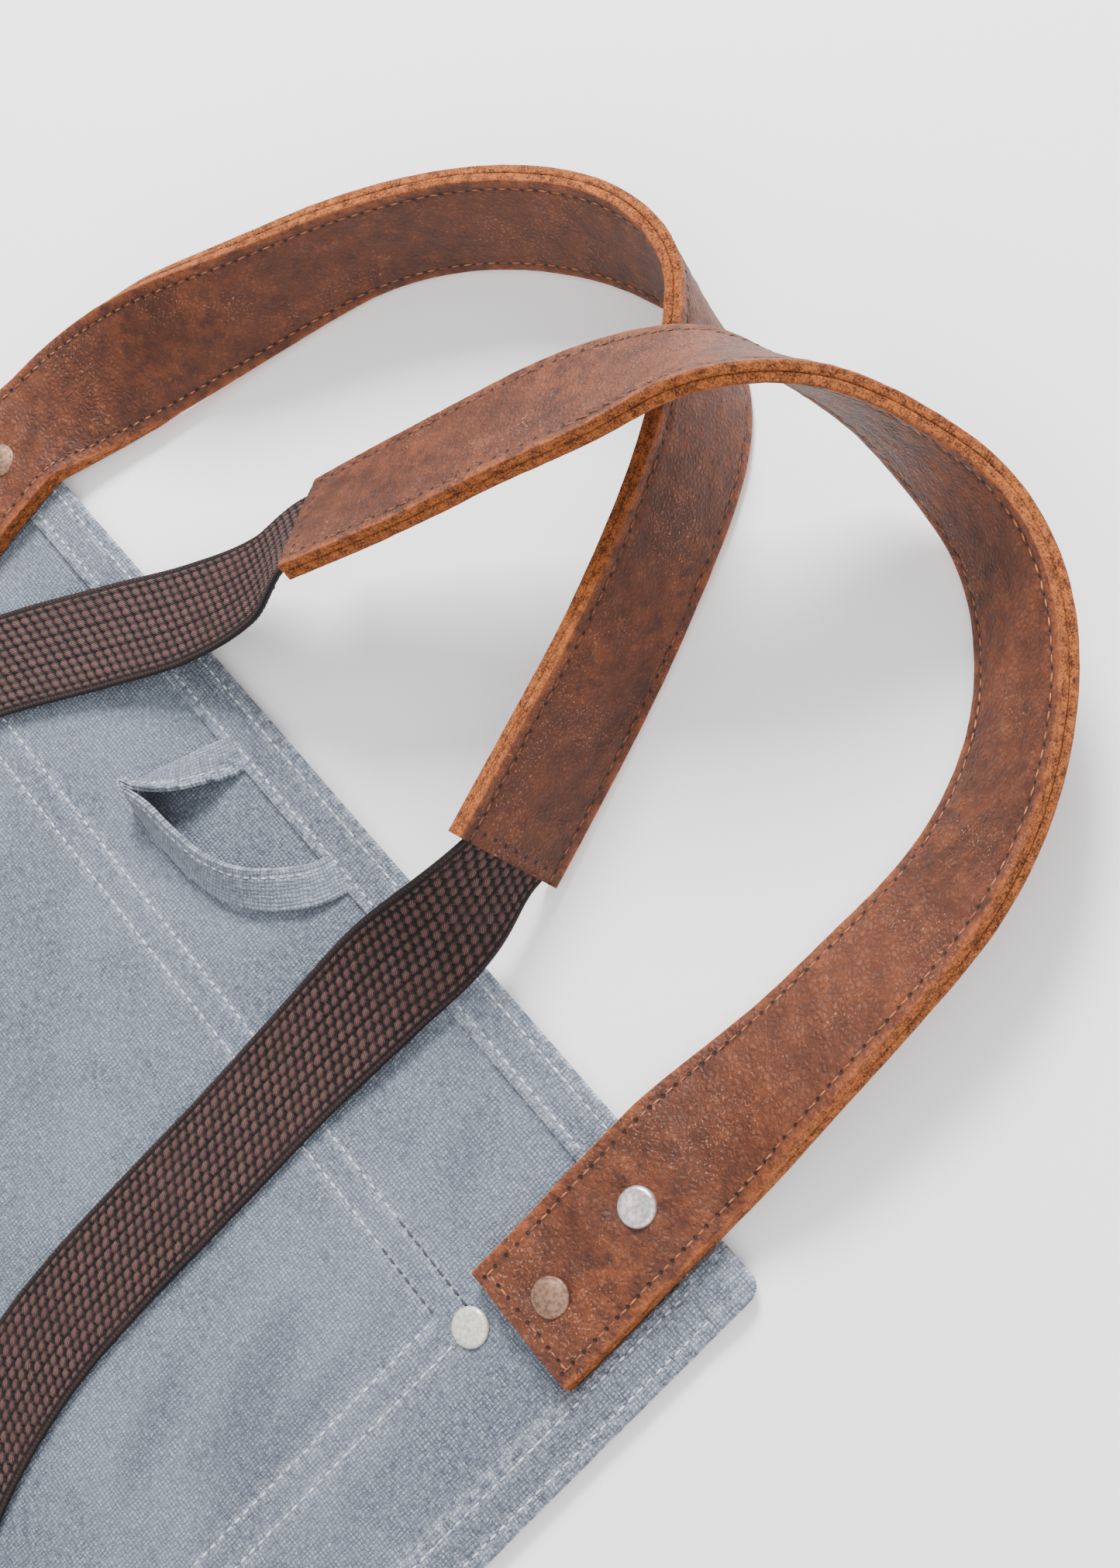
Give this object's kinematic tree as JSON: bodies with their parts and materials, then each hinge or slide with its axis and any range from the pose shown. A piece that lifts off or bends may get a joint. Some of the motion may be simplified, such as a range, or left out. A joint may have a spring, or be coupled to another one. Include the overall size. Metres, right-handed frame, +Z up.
{
  "type": "butcher apron",
  "caption": "Cross-back butcher apron in waxed canvas with sewn leather straps, elastic runs to the waist, capped rivets, pockets and a hanging loop, laid out inside face up.",
  "frame": {"origin": "centre of the laid-out apron's footprint, on the surface it lies on", "axes": "+Y from the skirt's bottom hem towards the bib and straps, +X to the right seen from the inside face, +Z up out of the inside face"},
  "size_m": [0.69, 1.0412, 0.0751],
  "materials": {
    "canvas": "waxed canvas",
    "pocket_canvas": "waxed canvas",
    "leather": "oiled leather",
    "elastic": "woven elastic",
    "rivet": "plated, worn"
  },
  "bodies": {
    "apron": {"canvas_bib_and_waist": "canvas", "chest_panel": "pocket_canvas", "chest_pocket": "pocket_canvas", "hip_pocket_left": "pocket_canvas", "hip_pocket_right": "pocket_canvas", "strap_left_face": "leather", "strap_left_lining": "leather", "strap_right_face": "leather", "strap_right_lining": "leather", "waist_tab_left_backing": "leather", "waist_tab_left_face": "leather", "waist_tab_right_backing": "leather", "waist_tab_right_face": "leather", "elastic_to_left_waist": "elastic", "elastic_to_right_waist": "elastic", "strap_rivet_bases": "rivet", "strap_rivet_caps": "rivet", "panel_rivet_bases": "rivet", "panel_rivet_caps": "rivet", "tab_rivet_bases": "rivet", "tab_rivet_caps": "rivet", "hip_rivet_bases": "rivet", "hip_rivet_caps": "rivet"},
    "skirt": {"canvas_skirt": "canvas"},
    "loop": {"hanging_loop": "canvas"}
  },
  "joints": [
    {"name": "skirt_fold", "type": "hinge", "parent": "apron", "child": "skirt", "pos_m": [0, -0.23555, 0.00475], "axis": [-1, 0, 0], "range_deg": [0, 175]},
    {"name": "loop_swing", "type": "hinge", "parent": "apron", "child": "loop", "pos_m": [0, 0.32415, 0.0056], "axis": [-1, 0, 0], "range_deg": [0, 110]}
  ]
}
